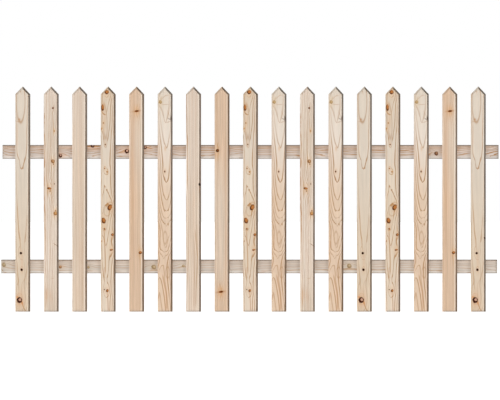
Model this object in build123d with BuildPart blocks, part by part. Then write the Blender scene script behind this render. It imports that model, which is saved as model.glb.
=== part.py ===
"""Picket fence panel: pointed softwood pickets fixed to the front of two horizontal rails.

Millimetres, +Z up, +X along the panel, and the front faces -Y. The origin is on the back face
of the lower rail, at mid height and under the middle picket, in the plane that bears on posts.
"""

import os

from build123d import *

# Rails
RAIL_LENGTH = 1800.0
RAIL_HEIGHT = 50.0
RAIL_THICKNESS = 28.0
RAIL_BEVEL = 4.0
RAIL_BACK_ROUND = 2.0
RAIL_SPACING = 416.0
# The panel is assembled by hand, and its lower rail sits a little further left than the upper one.
LOWER_RAIL_SHIFT = -5.0

# Pickets
PICKET_COUNT = 17
PICKET_LENGTH = 817.0
PICKET_WIDTH = 54.0
PICKET_THICKNESS = 20.0
PICKET_BEVEL_WIDTH = 6.5
PICKET_BEVEL_DEPTH = 8.5
PICKET_BACK_ROUND = 2.0
POINT_RISE = 28.5
POINT_ROUND = 2.0

# How far the rails run past the outer pickets, and the pickets past the middle of the lower rail
RAIL_OVERHANG = 47.0
FOOT_DEPTH = 163.5

# Sanding only breaks the arrises of the bevels and of the sawn ends
BEVEL_ARRIS = 0.8
SAWN_ARRIS = 0.6

# Places that follow from the sizes above
PICKET_PITCH = (RAIL_LENGTH - 2 * RAIL_OVERHANG - PICKET_WIDTH) / (PICKET_COUNT - 1)
FOOT_Z = -FOOT_DEPTH
SHOULDER_Z = FOOT_Z + PICKET_LENGTH - POINT_RISE
NAME_OF_PICKET = "picket_{:02d}"


def faces_across(solid, axis):
    """The flat faces square to an axis, from its low end to its high end."""
    return solid.faces().filter_by(axis).sort_by(axis)


def picket_at_middle():
    """A board with a pointed head, bevelled round the front and eased at the back, at x = 0."""
    half = PICKET_WIDTH / 2
    shoulder = PICKET_LENGTH - POINT_RISE
    # The outline is drawn where the picket lies on the rails, and grows forward from there.
    seat = Plane(origin=(0, -RAIL_THICKNESS, FOOT_Z), x_dir=(1, 0, 0), z_dir=(0, -1, 0))
    with BuildPart() as picket:
        with BuildSketch(seat):
            with BuildLine():
                Polyline(
                    (-half, 0),
                    (half, 0),
                    (half, shoulder),
                    (0, PICKET_LENGTH),
                    (-half, shoulder),
                    close=True,
                )
            make_face()
        extrude(amount=PICKET_THICKNESS)

        # The bevel runs up both long edges and over the point, and leaves the sawn foot square.
        front = faces_across(picket, Axis.Y)[0]
        front_rim = front.edges().sort_by(Axis.Z)[1:]
        chamfer(front_rim, PICKET_BEVEL_WIDTH, PICKET_BEVEL_DEPTH, reference=front)

        # The tip and both shoulders are eased alike, in the outline and in the mitres of its bevel.
        tip = picket.edges().sort_by(Axis.Z)[-2:]
        shoulders = picket.edges().filter_by_position(
            Axis.Z, SHOULDER_Z - PICKET_BEVEL_WIDTH, SHOULDER_Z + BEVEL_ARRIS
        )
        fillet(tip + shoulders, POINT_ROUND)

        fillet(faces_across(picket, Axis.Y)[0].edges().sort_by(Axis.Z)[1:], BEVEL_ARRIS)
        fillet(faces_across(picket, Axis.Y)[-1].edges().sort_by(Axis.Z)[1:], PICKET_BACK_ROUND)
        fillet(faces_across(picket, Axis.Z)[0].edges(), SAWN_ARRIS)
    return picket.part


def rail_at(middle_x, middle_z):
    """A straight board with its long front edges bevelled and its long back edges eased."""
    left_end = Plane(
        origin=(middle_x - RAIL_LENGTH / 2, -RAIL_THICKNESS / 2, middle_z),
        x_dir=(0, 1, 0),
        z_dir=(1, 0, 0),
    )
    with BuildPart() as rail:
        with BuildSketch(left_end):
            Rectangle(RAIL_THICKNESS, RAIL_HEIGHT)
        extrude(amount=RAIL_LENGTH)

        chamfer(faces_across(rail, Axis.Y)[0].edges().filter_by(Axis.X), RAIL_BEVEL)
        fillet(faces_across(rail, Axis.Y)[0].edges().filter_by(Axis.X), BEVEL_ARRIS)
        fillet(faces_across(rail, Axis.Y)[-1].edges().filter_by(Axis.X), RAIL_BACK_ROUND)
        fillet(faces_across(rail, Axis.X)[0].edges(), SAWN_ARRIS)
        fillet(faces_across(rail, Axis.X)[-1].edges(), SAWN_ARRIS)
    return rail.part


def labelled(piece, name):
    """The piece with the name that its node and its file carry."""
    piece.label = name
    return piece


pattern = picket_at_middle()
pieces = [
    labelled(rail_at(LOWER_RAIL_SHIFT, 0), "lower_rail"),
    labelled(rail_at(0, RAIL_SPACING), "upper_rail"),
]
for index in range(PICKET_COUNT):
    from_middle = (index - (PICKET_COUNT - 1) / 2) * PICKET_PITCH
    picket = pattern.moved(Location((from_middle, 0, 0)))
    pieces.append(labelled(picket, NAME_OF_PICKET.format(index + 1)))

os.makedirs("parts", exist_ok=True)
for piece in pieces:
    export_step(piece, f"parts/{piece.label}.step")
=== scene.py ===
"""Looks of a picket fence panel: planed, knotty softwood and screws, in a white studio.

Blender works in metres. Everything inside a board's wood is in millimetres, measured from the
board: across it, up along it from its foot or its left end, and deep into it from its front face.
"""

import math
from typing import NamedTuple

import bmesh
import bpy
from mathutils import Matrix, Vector


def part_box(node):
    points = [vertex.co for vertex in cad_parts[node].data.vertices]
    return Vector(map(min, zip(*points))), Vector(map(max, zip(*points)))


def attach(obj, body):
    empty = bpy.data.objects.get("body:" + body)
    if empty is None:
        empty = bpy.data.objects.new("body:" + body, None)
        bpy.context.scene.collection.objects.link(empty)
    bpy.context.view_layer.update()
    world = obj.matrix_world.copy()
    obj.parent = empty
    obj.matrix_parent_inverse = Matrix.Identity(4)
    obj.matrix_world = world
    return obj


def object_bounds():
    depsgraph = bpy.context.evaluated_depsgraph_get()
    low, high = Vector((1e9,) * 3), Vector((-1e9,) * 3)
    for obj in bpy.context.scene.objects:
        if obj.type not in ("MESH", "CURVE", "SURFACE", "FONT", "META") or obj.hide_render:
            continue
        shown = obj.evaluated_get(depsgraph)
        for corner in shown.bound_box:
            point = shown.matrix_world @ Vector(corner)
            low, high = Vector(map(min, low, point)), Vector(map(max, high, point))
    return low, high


MM = 0.001

# Camera: square to the front, far off with a long lens, framed as the photograph is
SENSOR_WIDTH = 36.0
LENS = 400.0
FRAME_WIDTH = 1.8125
FRAME_CENTRE = Vector((-0.0020, 0.0, 0.2413))

# Light levels are the share of a colour that a square-on face gives back. Softness is in degrees.
DOME_LEVEL = 0.06
KEY_LEVEL = 0.95
KEY_AZIMUTH = -38.0
KEY_ELEVATION = -12.0
KEY_SOFTNESS = 30.0
FILL_LEVEL = 0.24
FILL_AZIMUTH = -20.0
FILL_ELEVATION = 10.0
FILL_SOFTNESS = 80.0
BACK_LEVEL = 0.55
BACK_AZIMUTH = 152.0
BACK_ELEVATION = 16.0
BACK_SOFTNESS = 20.0
FLOOR_REACH = 80.0
FLOOR_GLOW = 0.80
FLOOR_GREY = 0.85

# Screws: two at each crossing, in a slanting pair
SCREW_HEAD_RADIUS = 4.0
SCREW_HEAD_PROUD = 0.35
SCREW_RECESS_RADIUS = 2.1
SCREW_RECESS_DEPTH = 0.9
SCREW_OFFSET_ACROSS = 11.0
SCREW_OFFSET_UP = 11.0
SCREW_STEPS = 36

# Growth rings: a point's side is 1 at HALF_WIDTH from the centre line. A ring ends in its dark line
# at LINE_AT, and more rings pass behind the bevel. Knots push rings apart and lift them.
HALF_WIDTH = 24.0
LINE_AT = 0.92
RINGS_THROUGH_FACE = 0.05
RINGS_BEHIND_BEVEL = 3.0
KNOT_PARTING = 0.75
KNOT_LIFT = 0.16

# Branches lean upwards as they grow outwards, so a knot sits a little lower at the back.
LEAN_ACROSS = 0.12
LEAN_UP = 0.35

# Bumps are in millimetres.
WOOD_ROUGHNESS = 0.66
WOOD_SPECULAR = 0.08
WOOD_BUMP = 0.25
STEEL_ROUGHNESS = 0.32
STEEL_BUMP = 0.02


def rgb(red, green, blue):
    """A colour written as a screen shows it, 0 to 255, in the linear form that shaders take."""

    def linear(value):
        share = value / 255
        return share / 12.92 if share <= 0.04045 else ((share + 0.055) / 1.055) ** 2.4

    return (linear(red), linear(green), linear(blue), 1.0)


# Shader building


def plug(tree, socket, value):
    """Sets a socket to a plain value, or links it to a field or another socket."""
    if isinstance(value, Field):
        tree.links.new(value.socket, socket)
    elif isinstance(value, bpy.types.NodeSocket):
        tree.links.new(value, socket)
    else:
        socket.default_value = value


class Field:
    """A number that varies from place to place on a surface, with the arithmetic to build on it."""

    def __init__(self, tree, socket):
        self.tree = tree
        self.socket = socket

    def math(self, operation, *others):
        node = self.tree.nodes.new("ShaderNodeMath")
        node.operation = operation
        for socket, value in zip(node.inputs, (self, *others)):
            plug(self.tree, socket, value)
        return Field(self.tree, node.outputs[0])

    def __add__(self, other):
        return self.math("ADD", other)

    def __sub__(self, other):
        return self.math("SUBTRACT", other)

    def __mul__(self, other):
        return self.math("MULTIPLY", other)

    def __truediv__(self, other):
        return self.math("DIVIDE", other)

    def squared(self):
        return self * self

    def floor(self):
        return self.math("FLOOR")

    def fraction(self):
        return self.math("FRACT")

    def size(self):
        return self.math("ABSOLUTE")

    def bell(self):
        """1 where the field is 0, and down to nothing by about 2."""
        return (self.squared() * -1.0).math("EXPONENT")

    def ramp(self, low, high, start=0.0, end=1.0):
        """Smoothly from start to end as the field goes from low to high, and flat beyond."""
        node = self.tree.nodes.new("ShaderNodeMapRange")
        node.interpolation_type = "SMOOTHSTEP"
        plug(self.tree, node.inputs["Value"], self)
        node.inputs["From Min"].default_value = low
        node.inputs["From Max"].default_value = high
        node.inputs["To Min"].default_value = start
        node.inputs["To Max"].default_value = end
        return Field(self.tree, node.outputs["Result"])


def vector(tree, x, y, z):
    node = tree.nodes.new("ShaderNodeCombineXYZ")
    for socket, value in zip(node.inputs, (x, y, z)):
        plug(tree, socket, value)
    return node.outputs[0]


def vector_math(tree, operation, first, second):
    node = tree.nodes.new("ShaderNodeVectorMath")
    node.operation = operation
    plug(tree, node.inputs[0], first)
    plug(tree, node.inputs[1], second)
    return node


def noise(tree, place, spread, detail=2.0):
    """Smooth noise from -1 to 1 whose features are about spread millimetres wide, high and deep."""
    mapping = tree.nodes.new("ShaderNodeMapping")
    plug(tree, mapping.inputs["Vector"], place)
    mapping.inputs["Scale"].default_value = tuple(1 / size for size in spread)
    node = tree.nodes.new("ShaderNodeTexNoise")
    node.inputs["Scale"].default_value = 1.0
    node.inputs["Detail"].default_value = detail
    plug(tree, node.inputs["Vector"], mapping.outputs[0])
    return (Field(tree, node.outputs["Fac"]) - 0.5) * 2.6


def chance(tree, number, seed):
    """A random share, 0 to 1, that stays the same for each whole number."""
    node = tree.nodes.new("ShaderNodeTexWhiteNoise")
    node.noise_dimensions = "2D"
    plug(tree, node.inputs["Vector"], vector(tree, number, seed, 0.0))
    return Field(tree, node.outputs["Value"])


def course(tree, up, low, high, points):
    """A value that runs smoothly through (place, value) points along a board from low to high."""
    if not isinstance(points, tuple):
        return points
    values = [value for _, value in points]
    least, most = min(values), max(values)
    spread = max(most - least, 1e-6)
    node = tree.nodes.new("ShaderNodeFloatCurve")
    curve = node.mapping.curves[0]
    shares = [((place - low) / (high - low), (value - least) / spread) for place, value in points]
    while len(curve.points) < len(shares):
        curve.points.new(0.5, 0.5)
    for point, share in zip(curve.points, shares):
        point.location = share
    node.mapping.update()
    plug(tree, node.inputs["Value"], (up - low) / (high - low))
    return Field(tree, node.outputs[0]) * spread + least


def blend(tree, share, under, over, how="MIX"):
    """The colour under, with the colour over laid on it by a share."""
    node = tree.nodes.new("ShaderNodeMix")
    node.data_type = "RGBA"
    node.blend_type = how
    plug(tree, node.inputs[0], share)
    plug(tree, node.inputs[6], under)
    plug(tree, node.inputs[7], over)
    return node.outputs[2]


def ellipse(tree, place, across, up, wide, tall, turn=0.0):
    """A place as seen from a spot, in units of a turned ellipse round the spot."""
    node = tree.nodes.new("ShaderNodeMapping")
    node.vector_type = "TEXTURE"
    plug(tree, node.inputs["Vector"], place)
    node.inputs["Location"].default_value = (across, up, 0.0)
    node.inputs["Rotation"].default_value = (0.0, 0.0, math.radians(turn))
    node.inputs["Scale"].default_value = (wide, tall, 1.0)
    return node.outputs[0]


def scaled(tree, vector_or_colour, by):
    node = tree.nodes.new("ShaderNodeVectorMath")
    node.operation = "SCALE"
    plug(tree, node.inputs[0], vector_or_colour)
    plug(tree, node.inputs["Scale"], by)
    return node.outputs[0]


def distance(tree, place, spot=(0.0, 0.0, 0.0)):
    return Field(tree, vector_math(tree, "DISTANCE", place, spot).outputs["Value"])


# What differs from board to board


class Knot(NamedTuple):
    """A branch that the saw cut through: its middle on the front face, its half width and shape."""

    across: float
    up: float
    radius: float
    look: str = "brown"
    tall: float = 1.0
    turn: float = 0.0


class Stain(NamedTuple):
    """A soft patch, or a short stroke, of another colour."""

    across: float
    up: float
    wide: float
    tall: float
    colour: tuple
    share: float = 0.6
    turn: float = 0.0


class Loop(NamedTuple):
    """A growth ring that the saw laid open as a closed line."""

    across: float
    up: float
    wide: float
    tall: float
    share: float = 0.7
    thick: float = 1.4
    turn: float = 0.0


class Streak(NamedTuple):
    """A dark line in the grain that runs through (up, across) points."""

    points: tuple
    share: float = 0.7
    wide: float = 1.4
    colour: tuple = rgb(180, 138, 96)


class Board(NamedTuple):
    """How a board was cut: its colours from end to end and its growth rings.

    rings is the ring number on the centre line, bow how many more rings lie between it and the
    edges, and slant how many from it to the right edge, each along the board. soft is how many
    millimetres the latewood takes to darken, and line how dark it gets.
    """

    shades: tuple
    rings: tuple
    bow: object
    slant: object
    soft: float = 3.2
    line: object = 0.9
    waves: object = 0.1
    streaky: float = 1.0
    knots: tuple = ()
    marks: tuple = ()
    seed: float = 0.0


class KnotLook(NamedTuple):
    """A knot's colours: its middle, its dark rim, and the halo of stained wood round it.

    heart is how far out the middle reaches, as a share of the knot.
    """

    middle: tuple
    rim: tuple
    halo: tuple
    halo_share: float
    heart: float


KNOT_LOOKS = {
    "brown": KnotLook(rgb(190, 122, 64), rgb(96, 50, 22), rgb(214, 168, 116), 0.45, 0.78),
    "orange": KnotLook(rgb(208, 156, 100), rgb(150, 98, 50), rgb(218, 176, 126), 0.5, 0.76),
    "dark": KnotLook(rgb(136, 78, 36), rgb(72, 38, 18), rgb(208, 158, 102), 0.5, 0.6),
    "pin": KnotLook(rgb(46, 16, 4), rgb(56, 24, 8), rgb(200, 156, 112), 0.3, 0.8),
    "ringed": KnotLook(rgb(212, 166, 140), rgb(58, 22, 6), rgb(204, 142, 88), 0.5, 0.5),
    "dash": KnotLook(rgb(84, 38, 14), rgb(130, 74, 32), rgb(210, 156, 100), 0.6, 0.6),
    "ash": KnotLook(rgb(156, 114, 84), rgb(104, 70, 50), rgb(190, 158, 130), 0.4, 0.6),
    "faint": KnotLook(rgb(190, 168, 134), rgb(150, 126, 92), rgb(196, 178, 150), 0.4, 0.6),
    "olive": KnotLook(rgb(196, 166, 122), rgb(162, 130, 84), rgb(214, 188, 150), 0.5, 0.74),
    "tawny": KnotLook(rgb(196, 152, 108), rgb(122, 78, 44), rgb(208, 170, 128), 0.5, 0.66),
}

PALE = rgb(228, 215, 201)
CREAM = rgb(216, 203, 187)
SAND = rgb(224, 208, 190)
HONEY = rgb(215, 198, 177)
ROSE = rgb(218, 193, 169)
PEACH = rgb(221, 197, 173)
TAN = rgb(213, 194, 171)
UMBER = rgb(203, 190, 180)
GREIGE = rgb(202, 192, 181)
LATEWOOD = rgb(172, 128, 86)
RESIN = rgb(178, 126, 78)
AMBER = rgb(208, 164, 118)
RUST = rgb(204, 160, 122)
# Ivory: pale streaks in the grain, and painted highlights beside the right bevels.
IVORY_AND_PAINTED_HIGHLIGHT = rgb(240, 228, 212)
FLAME = rgb(206, 128, 56)
BLUSH = rgb(210, 176, 150)
# A white for a painted highlight.
PAINTED_HIGHLIGHT_WHITE = rgb(232, 228, 223)
# A grey for painted shade and painted shadow.
PAINTED_SHADE_GREY = rgb(146, 136, 126)
END_GRAIN = rgb(222, 204, 186)
# Painted shade on the bevels and sides, by how far they turn from the front.
BEVEL_PAINTED_SHADE = 0.85

# A painted highlight: the narrow pale line beside every right bevel. Painted shadow: a grey band
# along the foot.
PICKET_PAINTED_EDGES = (
    Stain(17.6, 400, 1.6, 9000.0, IVORY_AND_PAINTED_HIGHLIGHT, 0.5),
    Stain(0.0, 0.0, 90.0, 3.8, PAINTED_SHADE_GREY, 0.95),
)

PLAIN_A = Board(
    shades=(TAN, HONEY, CREAM, CREAM),
    rings=(
        (0, 7.6),
        (65, 7.15),
        (160, 6.4),
        (211, 5.9),
        (395, 5.32),
        (532, 4.9),
        (610, 4.3),
        (817, 4.0),
    ),
    bow=0.9,
    slant=((0, 0.9), (65, 0.75), (211, 0.0), (400, 0.15), (517, 0.4), (817, 0.3)),
    soft=3.6,
    knots=(
        Knot(-6.4, 212, 4.4, "pin"),
        Knot(-3.9, 152, 4.4, "pin", 1.1, 20.0),
        Knot(-12.0, 42, 9.8, "ringed", 1.08),
    ),
    marks=(
        Loop(-7.5, 762, 16.0, 75.0, 0.7),
        Stain(-9.0, 798, 3.0, 1.4, RESIN, 0.5, 40.0),
        Stain(-12.9, 697, 3.6, 4.0, RESIN, 0.85),
        Stain(-16.0, 689, 8.0, 2.0, RESIN, 0.5, -10.0),
        Streak(((30, 1.0), (90, -4.0), (130, 8.0), (190, 3.0)), 0.35),
        Streak(((0, 11.0), (22, 1.0), (36, -3.0)), 1.0, 1.8),
        Streak(((75, -13.0), (120, -16.5), (170, -20.0)), 0.5),
        Streak(((80, 15.0), (200, 16.5), (300, 18.0), (360, 20.0)), 0.45, 1.8),
        Streak(((215, -6.0), (300, -14.5), (395, -20.5)), 0.6, 1.6),
        Stain(-2.0, 182, 5.0, 30.0, RUST, 0.35),
        Stain(-19.5, 53, 5.0, 3.4, FLAME, 1.0, -35.0),
        Stain(-3.0, 34, 3.6, 9.0, FLAME, 0.75, 25.0),
        Stain(-20.0, 640, 3.0, 50.0, RUST, 0.3),
    ),
    seed=1.0,
)
KNOTTY_B = Board(
    shades=(CREAM, PALE, PALE, CREAM, PALE),
    rings=((0, 3.0), (817, 4.0)),
    soft=1.8,
    bow=1.0,
    slant=5.0,
    streaky=1.5,
    knots=(
        Knot(6.5, 738, 3.8, "ash"),
        Knot(11.5, 655, 2.5, "orange"),
        Knot(6.4, 545, 6.2, "tawny", 1.1, 20.0),
        Knot(8.5, 535, 2.0, "dark"),
        Knot(11.4, 463, 1.8, "pin"),
        Knot(-6.9, 447, 7.5, "brown", 0.55, -8.0),
        Knot(-4.0, 437, 1.8, "dark"),
        Knot(15.3, 356, 6.0, "orange", 1.15, 10.0),
        Knot(15.5, 366, 2.4, "brown", 0.7),
    ),
    marks=(
        Streak(((645, 10.0), (700, 6.0), (735, 3.0)), 0.5),
        Streak(((645, 12.0), (700, 17.0), (760, 18.0)), 0.4),
        Streak(((300, 1.0), (420, 2.0), (560, -1.0), (680, -4.0)), 0.5, 1.2),
        Streak(((400, -15.0), (470, -13.0), (600, -14.0)), 0.45, 1.2),
        Streak(((400, -9.0), (470, -9.5), (560, -9.0)), 0.4, 1.2),
        Streak(((372, 9.0), (410, 3.0), (445, -1.0)), 0.5, 1.2),
        Streak(((385, 14.0), (430, 8.0), (520, 10.0)), 0.45, 1.2),
        Stain(17.0, 242, 8.0, 1.5, rgb(150, 98, 54), 1.0, -34.0),
        Stain(6.0, 121, 4.5, 1.2, RESIN, 0.55, 8.0),
        Stain(-17.0, 62, 8.0, 24.0, RUST, 0.5),
        Stain(-2.0, 60, 3.0, 22.0, RUST, 0.35),
        Stain(4.0, 52, 1.4, 18.0, RESIN, 0.35),
        Stain(-21.0, 420, 5.0, 400.0, RUST, 0.25),
    ),
    waves=0.3,
    seed=2.0,
)
STRAIGHT_C = Board(
    shades=(SAND, SAND, SAND, PALE),
    rings=((0, 3.0), (817, 5.0)),
    soft=1.8,
    bow=1.0,
    slant=7.0,
    line=0.9,
    streaky=1.5,
    marks=(
        Streak(((0, 10.5), (150, 10.0), (330, 11.5), (460, 12.0)), 0.45, 1.3),
        Streak(((0, -2.0), (200, -1.0), (420, -2.0)), 0.25, 1.2),
        Streak(((0, -14.0), (220, -12.5), (380, -12.0)), 0.25, 1.2),
        # A painted highlight: a pale line beside the right bevel.
        Stain(17.5, 400, 1.8, 600.0, IVORY_AND_PAINTED_HIGHLIGHT, 0.5),
    ),
    seed=3.0,
)
KNOTTY_D = Board(
    shades=(SAND, HONEY, HONEY, CREAM, HONEY),
    rings=(
        (0, 9.6),
        (125, 9.0),
        (225, 8.4),
        (330, 7.6),
        (380, 7.5),
        (437, 8.0),
        (500, 8.3),
        (560, 8.5),
        (630, 8.0),
        (700, 7.4),
        (817, 7.0),
    ),
    bow=1.6,
    slant=1.2,
    soft=3.4,
    line=1.05,
    waves=0.16,
    streaky=1.3,
    knots=(
        Knot(-5.6, 796, 7.6, "brown"),
        Knot(-20.5, 740, 5.6, "brown", 2.1, 8.0),
        Knot(-17.0, 684, 2.2, "brown"),
        Knot(-23.5, 665, 3.0, "orange"),
        Knot(-10.2, 606, 2.4, "dark"),
        Knot(-12.6, 519, 2.2, "brown"),
        Knot(-3.2, 507, 3.0, "orange"),
        Knot(5.8, 378, 7.6, "brown", 1.45, -28.0),
        Knot(-16.4, 330, 7.6, "brown", 1.4, 14.0),
        Knot(-13.2, 300, 3.4, "brown", 1.0),
        Knot(15.3, 279, 4.6, "brown", 1.1, -20.0),
        Knot(-24.0, 257, 2.2, "brown"),
        Knot(11.7, 224, 6.0, "brown", 0.55, 14.0),
        Knot(-2.8, 76, 4.6, "brown", 1.2, -25.0),
        Knot(-13.7, 80, 2.0, "pin"),
    ),
    marks=(
        Loop(-12.0, 690, 8.5, 60.0, 0.55, 1.5, 3.0),
        Loop(1.5, 372, 14.0, 26.0, 0.45, 1.3, -20.0),
        Stain(-12.5, 690, 6.0, 48.0, AMBER, 0.4),
        Streak(((750, -21.0), (775, -21.5), (800, -17.0)), 0.7),
        Streak(((130, -10.5), (165, -10.0), (225, -11.5), (300, -15.0)), 0.85, 1.7, RESIN),
        Streak(((120, -9.0), (145, -14.5), (165, -11.0)), 0.6),
        Streak(((228, -6.0), (262, -2.0), (300, 3.0)), 0.4, 1.3),
        Streak(((0, 0.5), (40, -1.0), (72, -3.5)), 0.75, 1.6, RESIN),
        Streak(((0, 6.0), (60, 8.0), (120, 5.0)), 0.4),
        Streak(((230, 12.0), (262, 13.0), (330, 15.0), (420, 9.0)), 0.45, 1.3),
        Streak(((300, 17.0), (480, 18.0), (817, 16.0)), 0.4, 1.5),
        Streak(((400, 8.0), (600, 9.0), (817, 8.0)), 0.3, 1.3),
    ),
    seed=4.0,
)
PINK_E = Board(
    shades=(ROSE, ROSE, PEACH, SAND, ROSE),
    rings=((0, 3.0), (817, 5.0)),
    bow=1.0,
    slant=8.0,
    line=0.7,
    streaky=2.2,
    knots=(Knot(0.4, 727, 7.5, "dash", 0.5, 7.0), Knot(13.7, 214, 6.2, "brown", 0.85, 30.0)),
    marks=(
        Stain(0.4, 727, 14.0, 3.2, rgb(160, 104, 58), 1.0, 7.0),
        Stain(17.0, 224, 1.6, 9.0, RESIN, 0.6, -25.0),
        Stain(14.0, 190, 2.4, 30.0, AMBER, 0.55),
        Stain(-14.0, 540, 9.0, 330.0, RUST, 0.55),
        # A painted highlight: a pale line beside the right bevel.
        Stain(17.5, 450, 2.6, 500.0, IVORY_AND_PAINTED_HIGHLIGHT, 0.65),
        Streak(((0, 13.0), (150, 15.0), (205, 14.5)), 0.4, 1.3),
    ),
    seed=5.0,
)
ARCHED_F = Board(
    shades=(PEACH, ROSE, PEACH, PALE, CREAM),
    rings=(
        (0, 11.7),
        (70, 12.3),
        (130, 13.0),
        (180, 13.2),
        (215, 12.0),
        (232, 11.0),
        (310, 10.0),
        (335, 9.0),
        (360, 8.0),
        (404, 7.0),
        (465, 6.0),
        (588, 5.0),
        (679, 4.0),
        (760, 3.3),
        (817, 3.0),
    ),
    bow=((0, 0.5), (100, 0.6), (200, 1.8), (300, 1.6), (420, 1.8), (817, 1.5)),
    slant=((0, 2.0), (120, 1.9), (185, 0.9), (250, 0.0), (330, -0.7), (817, 0.2)),
    soft=6.5,
    line=((0, 1.1), (300, 1.1), (600, 0.9), (680, 0.45), (817, 0.4)),
    waves=((0, 0.08), (150, 0.1), (230, 0.4), (330, 0.45), (430, 0.12), (817, 0.12)),
    knots=(Knot(-17.7, 760, 6.0, "olive"), Knot(-1.2, 508, 2.6, "dark", 1.3)),
    marks=(
        Streak(((752, -6.0), (768, -14.0), (782, -8.0)), 0.4),
        Stain(-6.0, 777, 1.4, 14.0, RESIN, 0.5, -48.0),
        Stain(5.0, 783, 6.0, 1.3, RESIN, 0.45, 8.0),
        Stain(0.0, 751, 13.0, 1.5, RESIN, 0.5, 2.0),
        Stain(13.0, 688, 9.0, 1.4, RESIN, 0.6, 18.0),
        Stain(16.0, 698, 6.0, 1.6, rgb(116, 84, 60), 0.9, -34.0),
        Stain(13.5, 716, 1.3, 12.0, RESIN, 0.4, 24.0),
        Stain(20.8, 701, 2.6, 8.0, rgb(84, 56, 40), 1.0),
        Stain(0.8, 592, 4.0, 9.0, AMBER, 0.55),
        Streak(((0, 6.0), (60, 4.0), (95, -2.0), (140, -10.0)), 0.7, 2.2, RESIN),
        Loop(9.5, 142, 8.0, 19.0, 0.45),
        Loop(0.0, 268, 7.0, 22.0, 0.5),
    ),
    seed=6.0,
)
STRAIGHT_G = STRAIGHT_C._replace(
    shades=(PALE, SAND, PALE, PALE),
    line=1.1,
    streaky=1.9,
    knots=(Knot(21.4, 462, 3.4, "pin", 1.6),),
    marks=(
        Streak(((0, 7.5), (90, 9.0), (180, 13.0), (250, 9.5), (310, 4.0)), 0.8, 1.5),
        Streak(((0, 1.0), (120, 3.0), (200, 4.5), (290, 2.0)), 0.65, 1.4),
        Streak(((120, 17.0), (200, 15.0), (290, 12.0), (330, 6.0)), 0.5, 1.3),
        Streak(((300, 11.0), (560, 8.0), (817, 7.0)), 0.35, 1.2),
        Stain(20.5, 446, 2.0, 16.0, RESIN, 0.7),
        # A painted highlight: a pale line beside the right bevel.
        Stain(17.5, 560, 1.8, 500.0, IVORY_AND_PAINTED_HIGHLIGHT, 0.55),
        Stain(6.0, 240, 1.4, 60.0, IVORY_AND_PAINTED_HIGHLIGHT, 0.6, 6.0),
    ),
    seed=7.0,
)
PINK_H = PINK_E._replace(
    shades=(PEACH, SAND, SAND, ROSE, ROSE),
    streaky=2.4,
    knots=(Knot(-17.0, 584, 6.2, "dark", 0.95), Knot(-4.0, 72, 8.0, "dash", 0.5, 9.0)),
    marks=(
        Stain(-17.5, 600, 2.2, 14.0, RESIN, 0.55, 5.0),
        Stain(-17.0, 566, 5.0, 14.0, AMBER, 0.45),
        Stain(-4.0, 72, 15.0, 3.4, rgb(160, 104, 58), 1.0, 7.0),
        Stain(15.0, 240, 5.0, 300.0, RUST, 0.6),
        Stain(12.0, 520, 6.0, 120.0, RUST, 0.3),
        Streak(((76, -4.0), (95, -8.0), (110, -13.0)), 0.4, 1.2),
    ),
    seed=8.0,
)
DOTTED_A = PLAIN_A._replace(knots=(*PLAIN_A.knots, Knot(22.5, 268, 2.8, "pin")))

PICKETS = (
    PLAIN_A,
    KNOTTY_B,
    STRAIGHT_C,
    KNOTTY_D,
    PINK_E,
    ARCHED_F,
    STRAIGHT_G,
    PINK_H,
    KNOTTY_D,
    ARCHED_F,
    KNOTTY_B,
    ARCHED_F,
    PLAIN_A,
    KNOTTY_D,
    ARCHED_F,
    PINK_E,
    DOTTED_A,
)

# Painted shade: a dark line along the rails' top edge and a grey line along the bottom edge, with a
# painted highlight on the lower front edge. The rail ends are darkened a little.
RAIL_PAINTED_EDGES = (
    Stain(24.6, 900, 2.2, 9000.0, PAINTED_SHADE_GREY, 0.85),
    Stain(-19.4, 900, 1.9, 9000.0, PAINTED_HIGHLIGHT_WHITE, 0.65),
    Stain(-24.6, 900, 2.2, 9000.0, PAINTED_SHADE_GREY, 0.75),
    Stain(0.0, 1799, 90.0, 4.0, PAINTED_SHADE_GREY, 0.5),
    Stain(0.0, 1, 90.0, 2.0, PAINTED_SHADE_GREY, 0.4),
)
UPPER_RAIL = Board(
    shades=(UMBER, UMBER),
    rings=(
        (0, 3.0),
        (250, 4.5),
        (450, 3.5),
        (700, 5.0),
        (1000, 4.0),
        (1350, 6.0),
        (1650, 4.0),
        (1800, 1.5),
    ),
    bow=1.8,
    slant=3.2,
    soft=4.0,
    line=1.5,
    waves=0.4,
    streaky=2.4,
    knots=(
        Knot(-14.0, 210, 6.5, "ringed"),
        Knot(22.0, 327, 7.0, "ringed"),
        Knot(2.3, 451, 7.8, "ringed"),
        Knot(16.0, 517, 6.0, "ringed", 1.1),
        Knot(-6.0, 1574, 7.2, "ash"),
    ),
    seed=11.0,
)
LOWER_RAIL = Board(
    shades=(GREIGE, GREIGE),
    rings=((0, 3.0), (600, 4.5), (1200, 3.0), (1800, 4.5)),
    bow=1.2,
    slant=3.0,
    waves=0.25,
    streaky=1.6,
    knots=(
        Knot(6.0, 10, 8.0, "faint", 0.8),
        Knot(-2.0, 215, 4.8, "tawny"),
        Knot(-3.0, 317, 4.4, "faint"),
        Knot(-2.0, 554, 7.5, "faint", 1.2, 20.0),
        Knot(2.0, 661, 4.4, "faint"),
        Knot(2.0, 1263, 8.0, "faint"),
    ),
    seed=12.0,
)


def board_place(tree, lowest, highest, along):
    """How far across, up and deep into a board each point of it is, in millimetres."""
    coordinates = tree.nodes.new("ShaderNodeTexCoord")
    split = tree.nodes.new("ShaderNodeSeparateXYZ")
    tree.links.new(coordinates.outputs["Object"], split.inputs[0])
    x, y, z = (Field(tree, output) for output in split.outputs)
    middle = (lowest + highest) / 2
    deep = (y - lowest.y) / MM
    if along == "Z":
        return (x - middle.x) / MM, (z - lowest.z) / MM, deep
    return (z - middle.z) / MM, (x - lowest.x) / MM, deep


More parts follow.
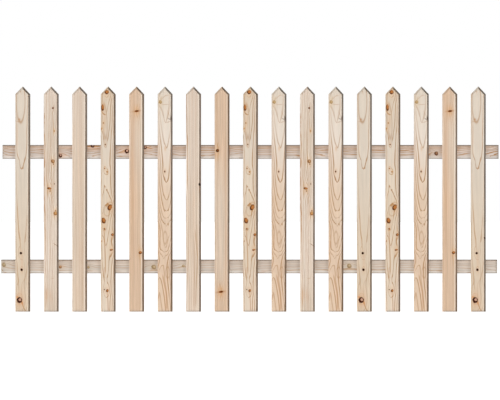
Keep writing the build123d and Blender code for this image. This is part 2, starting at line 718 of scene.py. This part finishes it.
def mark(tree, colour, kind, place, across, up, fade):
    """The colour with one stain, loop or streak laid on it."""
    if isinstance(kind, Stain):
        spot = ellipse(tree, place, kind.across, kind.up, kind.wide, kind.tall, kind.turn)
        return blend(tree, distance(tree, spot).bell() * fade * kind.share, colour, kind.colour)
    if isinstance(kind, Loop):
        spot = ellipse(tree, place, kind.across, kind.up, kind.wide, kind.tall, kind.turn)
        line = ((distance(tree, spot) - 1.0) * (kind.wide / kind.thick)).bell()
        return blend(tree, line * fade * kind.share, colour, LATEWOOD)
    low, high = kind.points[0][0], kind.points[-1][0]
    end = (high - low) * 0.12
    line = ((across - course(tree, up, low, high, kind.points)) / kind.wide).bell()
    line = line * up.ramp(low - 2.0, low + end) * up.ramp(high - end, high, 1.0, 0.0)
    return blend(tree, line * fade * kind.share, colour, kind.colour)


def shade_beside_pickets(tree, colour, up, crossings):
    """Painted shade on a rail beside each picket, stronger on the picket's left side.

    crossings is the place of the first picket's middle, and the pitch from picket to picket.
    """
    first, pitch = crossings
    from_middle = (((up - first) / pitch + 0.5).fraction() - 0.5) * pitch
    left = ((from_middle + 30.0) / 9.0).bell()
    right = ((from_middle - 29.0) / 9.0).bell()
    return blend(tree, left * 0.30 + right * 0.12, colour, PAINTED_SHADE_GREY, "MULTIPLY")


def bends_round_knots(tree, board, leaning):
    """For each knot, how strongly the fibres bend round it, from 1 at its middle to 0."""
    flows = []
    for knot in board.knots:
        wide = knot.radius * 1.9 + 2.0
        tall = knot.radius * 3.4 + 6.0
        reach = ellipse(tree, leaning, knot.across, knot.up, wide, tall)
        flows.append(distance(tree, reach).bell())
    return flows


def growth_rings(board, along_board, across, deep, flows, drift, ripple):
    """The ring number at each point, and how fast it changes across the board."""
    # Fibres part round each knot: the rings there are those of the knot's middle.
    parted = across
    for knot, flow in zip(board.knots, flows):
        parted = parted - (across - knot.across) * flow * KNOT_PARTING

    side = (parted + drift * 1.6) / HALF_WIDTH
    bow = along_board(board.bow)
    slant = along_board(board.slant)
    rings = along_board(board.rings) + side.squared() * bow + side * slant
    rings = rings + deep * RINGS_THROUGH_FACE + deep.ramp(9.0, 28.0) * RINGS_BEHIND_BEVEL
    rings = rings + drift * 0.2 + ripple * along_board(board.waves)
    for knot, flow in zip(board.knots, flows):
        rings = rings - flow * (KNOT_LIFT * knot.radius)

    steep = ((side * bow * 2.0 + slant) / HALF_WIDTH).squared() + 0.0001
    return rings, steep.math("SQRT")


def latewood(tree, board, along_board, rings, steep):
    """How much of a ring's dark end shows at each point.

    A ring starts pale and ends in a dark line with a sharp outer side, as thick where rings lie
    flat in the face as where they run steeply up it.
    """
    to_line = (rings.fraction() - LINE_AT) / steep
    late = to_line.ramp(-board.soft, -0.4) * to_line.ramp(0.1, 1.1, 1.0, 0.0)
    late = late * rings.fraction().ramp(0.3, 0.8)
    hard = chance(tree, rings.floor(), board.seed).ramp(0.0, 1.0, 0.5, 1.0)
    return (late * hard * along_board(board.line)).math("MINIMUM", 1.0)


def pale_wood(tree, board, share_up, patch, streak, brightness):
    """The colour between the dark lines, which runs through the board's shades from end to end."""
    shades = tree.nodes.new("ShaderNodeValToRGB")
    stops = shades.color_ramp.elements
    while len(stops) < len(board.shades):
        stops.new(0.5)
    for index, (stop, shade) in enumerate(zip(stops, board.shades)):
        stop.position = index / (len(board.shades) - 1)
        stop.color = shade
    plug(tree, shades.inputs[0], share_up)
    blush = (patch + streak * 0.8).ramp(0.1, 1.3) * 0.28
    return scaled(tree, blend(tree, blush, shades.outputs[0], BLUSH), brightness)


def draw_knot(tree, colour, knot, flow, leaning, wobble):
    """The colour with one knot laid on it: its halo, its rings and its rim."""
    look = KNOT_LOOKS[knot.look]
    colour = blend(tree, flow.squared() * look.halo_share, colour, look.halo)
    tall = knot.radius * knot.tall
    spot = ellipse(tree, leaning, knot.across, knot.up, knot.radius, tall, knot.turn)
    whole = distance(tree, spot) + wobble * 0.22
    heart = (distance(tree, spot, (0.22, 0.16, 0.0)) + wobble * 0.2) / look.heart
    growth = (heart * (knot.radius * 0.55)).fraction().ramp(0.3, 0.9)
    inner = blend(tree, growth * 0.35, look.middle, look.rim)
    inner = blend(tree, heart.ramp(0.7, 1.1), inner, look.rim)
    return blend(tree, whole.ramp(0.88, 1.15, 1.0, 0.0), colour, inner)


def facing(tree, normal, axis):
    """How squarely a surface faces along an axis, either way, from 0 to 1."""
    return Field(tree, vector_math(tree, "DOT_PRODUCT", normal, axis).outputs["Value"]).size()


def bump(tree, shader, height, strength, depth):
    """Raises the surface by a field, up to a depth in millimetres."""
    node = tree.nodes.new("ShaderNodeBump")
    node.inputs["Strength"].default_value = strength
    node.inputs["Distance"].default_value = depth * MM
    plug(tree, node.inputs["Height"], height)
    tree.links.new(node.outputs[0], shader.inputs["Normal"])


def wood(name, board, lowest, highest, along, edges, crossings=None):
    """Softwood sawn from a tree: rings that bend round knots, fibres, and colour that drifts."""
    material = bpy.data.materials.new(name)
    material.use_nodes = True
    tree = material.node_tree
    shader = tree.nodes["Principled BSDF"]
    across, up, deep = board_place(tree, lowest, highest, along)
    length = (highest - lowest).z / MM if along == "Z" else (highest - lowest).x / MM

    def along_board(points):
        return course(tree, up, 0.0, length, points)

    place = vector(tree, across, up, deep)
    apart = (board.seed * 311.0, board.seed * 97.0, 0.0)
    seeded = vector_math(tree, "ADD", place, apart).outputs[0]
    leaning = vector(tree, across - deep * LEAN_ACROSS, up + deep * LEAN_UP, 0.0)
    wobble = noise(tree, seeded, (3.4, 4.6, 9.0), 3.0)
    drift = noise(tree, seeded, (34.0, 210.0, 34.0))
    ripple = noise(tree, seeded, (9.0, 60.0, 12.0))
    streak = noise(tree, seeded, (4.6, 240.0, 6.0), 3.0)
    fibre = noise(tree, seeded, (0.55, 26.0, 0.55), 3.0)
    patch = noise(tree, seeded, (30.0, 110.0, 40.0), 2.0)

    flows = bends_round_knots(tree, board, leaning)
    rings, steep = growth_rings(board, along_board, across, deep, flows, drift, ripple)
    late = latewood(tree, board, along_board, rings, steep)

    # The pale wood drifts ring by ring, in long streaks and from fibre to fibre.
    tone = noise(tree, vector(tree, rings * 1.1, up / 700, board.seed), (1.0, 1.0, 1.0), 3.0)
    brightness = tone * 0.10 * board.streaky + streak * 0.11 * board.streaky + fibre * 0.06 + 1.02
    colour = pale_wood(tree, board, up / length, patch, streak, brightness)
    colour = blend(tree, late, colour, LATEWOOD)

    fade = ripple.ramp(-1.2, 0.6, 0.7, 1.0)
    # Board marks, then the painted highlights and painted shade along the edges.
    for kind in (*board.marks, *edges):
        colour = mark(tree, colour, kind, leaning, across, up, fade)
    # Painted shade on the rails beside each picket.
    if crossings:
        colour = shade_beside_pickets(tree, colour, up, crossings)
    for knot, flow in zip(board.knots, flows):
        colour = draw_knot(tree, colour, knot, flow, leaning, wobble)

    # Painted shade: the planed bevels and edges are made a little darker than the faces, as they
    # turn from the front. Sawn ends drink more.
    normal = tree.nodes.new("ShaderNodeNewGeometry").outputs["Normal"]
    flat = facing(tree, normal, (0.0, 1.0, 0.0))
    colour = scaled(tree, colour, flat.ramp(0.62, 0.97, BEVEL_PAINTED_SHADE, 1.0))
    end_on = facing(tree, normal, (0.0, 0.0, 1.0) if along == "Z" else (1.0, 0.0, 0.0))
    sawn = end_on.ramp(0.85, 0.98)
    colour = blend(tree, sawn * 0.8, colour, END_GRAIN, "MULTIPLY")

    plug(tree, shader.inputs["Base Color"], colour)
    roughness = late * -0.10 + fibre * 0.03 + sawn * 0.1 + WOOD_ROUGHNESS
    plug(tree, shader.inputs["Roughness"], roughness)
    shader.inputs["Specular IOR Level"].default_value = WOOD_SPECULAR
    bump(tree, shader, fibre * 0.35 + late * 0.5, 0.5, WOOD_BUMP)
    return material


def steel(name):
    """Plain stainless steel, with a fine grain and a faint smear."""
    material = bpy.data.materials.new(name)
    material.use_nodes = True
    tree = material.node_tree
    shader = tree.nodes["Principled BSDF"]
    coordinates = tree.nodes.new("ShaderNodeTexCoord")
    place = scaled(tree, coordinates.outputs["Object"], 1 / MM)
    grain = noise(tree, place, (0.6, 0.6, 0.6), 3.0)
    smear = noise(tree, place, (9.0, 9.0, 9.0)).ramp(-1.0, 1.0)
    colour = blend(tree, smear, rgb(206, 203, 196), rgb(186, 182, 174))
    plug(tree, shader.inputs["Base Color"], colour)
    shader.inputs["Metallic"].default_value = 1.0
    plug(tree, shader.inputs["Roughness"], grain * 0.05 + STEEL_ROUGHNESS)
    bump(tree, shader, grain, 0.3, STEEL_BUMP)
    return material


# Pieces


def middle_of(name):
    lowest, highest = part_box(name)
    return (lowest + highest) / 2


def dress_boards(frame):
    """Gives every packed board wood of its own."""
    first, second = (middle_of(f"picket_{number:02d}") for number in (1, 2))
    for name, node in frame["nodes"].items():
        lowest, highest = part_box(name)
        if name.startswith("picket_"):
            board = PICKETS[int(name[-2:]) - 1]
            material = wood(f"{name}_wood", board, lowest, highest, "Z", PICKET_PAINTED_EDGES)
        else:
            board = UPPER_RAIL if name == "upper_rail" else LOWER_RAIL
            crossings = ((first.x - lowest.x) / MM, (second.x - first.x) / MM)
            material = wood(f"{name}_wood", board, lowest, highest, "X", RAIL_PAINTED_EDGES, crossings)
        node.data.materials.clear()
        node.data.materials.append(material)


def screw_head(bm, centre, turn):
    """A flat screw head with a six-lobed recess, its face towards +Y."""
    profile = ((1.0, -0.5), (1.0, 0.0), (0.90, 0.8), (0.72, 1.0))

    def ring(radius_at, height):
        points = []
        for step in range(SCREW_STEPS):
            angle = 2 * math.pi * step / SCREW_STEPS
            radius = radius_at(angle) * MM
            x, z = radius * math.cos(angle + turn), radius * math.sin(angle + turn)
            points.append(bm.verts.new(centre + Vector((x, height * MM, z))))
        return points

    def lobed(angle):
        return SCREW_RECESS_RADIUS * (0.86 + 0.14 * math.cos(6 * angle))

    rows = [
        ring(lambda angle, share=share: SCREW_HEAD_RADIUS * share, SCREW_HEAD_PROUD * height)
        for share, height in profile
    ]
    rows.append(ring(lobed, SCREW_HEAD_PROUD))
    rows.append(ring(lobed, SCREW_HEAD_PROUD - SCREW_RECESS_DEPTH))
    for outer, inner in zip(rows, rows[1:]):
        for step in range(SCREW_STEPS):
            after = (step + 1) % SCREW_STEPS
            bm.faces.new((outer[step], inner[step], inner[after], outer[after]))
    bm.faces.new(rows[-1])
    bm.faces.new(reversed(rows[0]))


def screws(rail, material):
    """The screws behind one rail, as one joined mesh."""
    lowest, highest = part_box(rail)
    bm = bmesh.new()
    for index in range(len(PICKETS)):
        middle = middle_of(f"picket_{index + 1:02d}").x
        height = (lowest.z + highest.z) / 2
        for side in (-1, 1):
            x = middle + side * SCREW_OFFSET_ACROSS * MM
            z = height + side * SCREW_OFFSET_UP * MM
            screw_head(bm, Vector((x, highest.y, z)), turn=1.7 * index + side)
    bmesh.ops.recalc_face_normals(bm, faces=bm.faces)
    mesh = bpy.data.meshes.new(f"{rail}_screws")
    bm.to_mesh(mesh)
    bm.free()
    mesh.materials.append(material)
    piece = bpy.data.objects.new(f"{rail}_screws", mesh)
    bpy.context.scene.collection.objects.link(piece)
    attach(piece, "root")


# Studio


def white_where_seen(tree, lit, seen):
    """The shader lit for light on the object, and seen for the camera and its reflections."""
    path = tree.nodes.new("ShaderNodeLightPath")
    looked_at = Field(tree, path.outputs["Is Camera Ray"])
    looked_at = looked_at.math("MAXIMUM", Field(tree, path.outputs["Is Glossy Ray"]))
    looked_at = looked_at.math("MAXIMUM", Field(tree, path.outputs["Is Transmission Ray"]))
    mix = tree.nodes.new("ShaderNodeMixShader")
    plug(tree, mix.inputs[0], looked_at)
    tree.links.new(lit, mix.inputs[1])
    tree.links.new(seen, mix.inputs[2])
    return mix.outputs[0]


def make_world():
    """A plain dome that is seen as white."""
    world = bpy.data.worlds.new("studio")
    bpy.context.scene.world = world
    world.use_nodes = True
    tree = world.node_tree
    dome = tree.nodes["Background"]
    dome.inputs["Strength"].default_value = DOME_LEVEL
    dome.inputs["Color"].default_value = (1.0, 1.0, 1.0, 1.0)
    white = tree.nodes.new("ShaderNodeBackground")
    white.inputs["Color"].default_value = (1.0, 1.0, 1.0, 1.0)
    output = tree.nodes["World Output"]
    surface = white_where_seen(tree, dome.outputs[0], white.outputs[0])
    tree.links.new(surface, output.inputs["Surface"])


def sun(name, azimuth, elevation, level, softness, shadow=True):
    """A distant soft lamp. Azimuth 0 shines from the front and -90 from the left."""
    lamp = bpy.data.lights.new(name, "SUN")
    lamp.energy = level * math.pi
    lamp.angle = math.radians(softness)
    lamp.use_shadow = shadow
    lamp_object = bpy.data.objects.new(name, lamp)
    a, e = math.radians(azimuth), math.radians(elevation)
    towards = Vector((math.sin(a) * math.cos(e), -math.cos(a) * math.cos(e), math.sin(e)))
    lamp_object.rotation_euler = towards.to_track_quat("Z", "Y").to_euler()
    bpy.context.scene.collection.objects.link(lamp_object)


def make_floor(height):
    """A wide pale floor that is seen as white but for the shadow under the panel."""
    bm = bmesh.new()
    bmesh.ops.create_grid(bm, x_segments=8, y_segments=8, size=FLOOR_REACH)
    mesh = bpy.data.meshes.new("floor")
    bm.to_mesh(mesh)
    bm.free()
    floor = bpy.data.objects.new("floor", mesh)
    floor.location.z = height
    bpy.context.scene.collection.objects.link(floor)

    material = bpy.data.materials.new("floor_paper")
    material.use_nodes = True
    tree = material.node_tree
    tree.nodes.remove(tree.nodes["Principled BSDF"])
    paper = tree.nodes.new("ShaderNodeBsdfDiffuse")
    paper.inputs["Color"].default_value = (FLOOR_GREY, FLOOR_GREY, FLOOR_GREY, 1.0)
    glow = tree.nodes.new("ShaderNodeEmission")
    glow.inputs["Strength"].default_value = FLOOR_GLOW
    both = tree.nodes.new("ShaderNodeAddShader")
    tree.links.new(paper.outputs[0], both.inputs[0])
    tree.links.new(glow.outputs[0], both.inputs[1])
    surface = white_where_seen(tree, paper.outputs[0], both.outputs[0])
    tree.links.new(surface, tree.nodes["Material Output"].inputs["Surface"])
    mesh.materials.append(material)


def make_camera(front):
    """Looks straight at the front faces, so far off that the boards hardly show their sides."""
    camera = bpy.data.cameras.new("camera")
    camera.sensor_width = SENSOR_WIDTH
    camera.lens = LENS
    away = FRAME_WIDTH * LENS / SENSOR_WIDTH
    camera.clip_start = 1.0
    camera.clip_end = away + FLOOR_REACH
    camera_object = bpy.data.objects.new("camera", camera)
    camera_object.location = (FRAME_CENTRE.x, front - away, FRAME_CENTRE.z)
    camera_object.rotation_euler = (math.radians(90), 0.0, 0.0)
    bpy.context.scene.collection.objects.link(camera_object)
    bpy.context.scene.camera = camera_object


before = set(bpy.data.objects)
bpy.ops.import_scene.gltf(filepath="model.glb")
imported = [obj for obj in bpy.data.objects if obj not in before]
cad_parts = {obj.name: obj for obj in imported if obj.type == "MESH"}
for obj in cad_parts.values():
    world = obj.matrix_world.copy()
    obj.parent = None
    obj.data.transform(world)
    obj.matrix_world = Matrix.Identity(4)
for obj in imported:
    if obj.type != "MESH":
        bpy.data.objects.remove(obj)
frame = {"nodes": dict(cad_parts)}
cad_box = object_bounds()
bpy.context.scene.view_settings.view_transform = "Standard"

dress_boards(frame)
stainless = steel("stainless_steel")
screws("upper_rail", stainless)
screws("lower_rail", stainless)

make_world()
# The main light comes as from a wide low panel, so it throws no shadow from board to board.
sun("key", KEY_AZIMUTH, KEY_ELEVATION, KEY_LEVEL, KEY_SOFTNESS, shadow=False)
sun("fill", FILL_AZIMUTH, FILL_ELEVATION, FILL_LEVEL, FILL_SOFTNESS)
sun("back_left", -BACK_AZIMUTH, BACK_ELEVATION, BACK_LEVEL, BACK_SOFTNESS)
sun("back_right", BACK_AZIMUTH, BACK_ELEVATION, BACK_LEVEL, BACK_SOFTNESS)
make_floor(cad_box[0].z)
make_camera(cad_box[0].y)
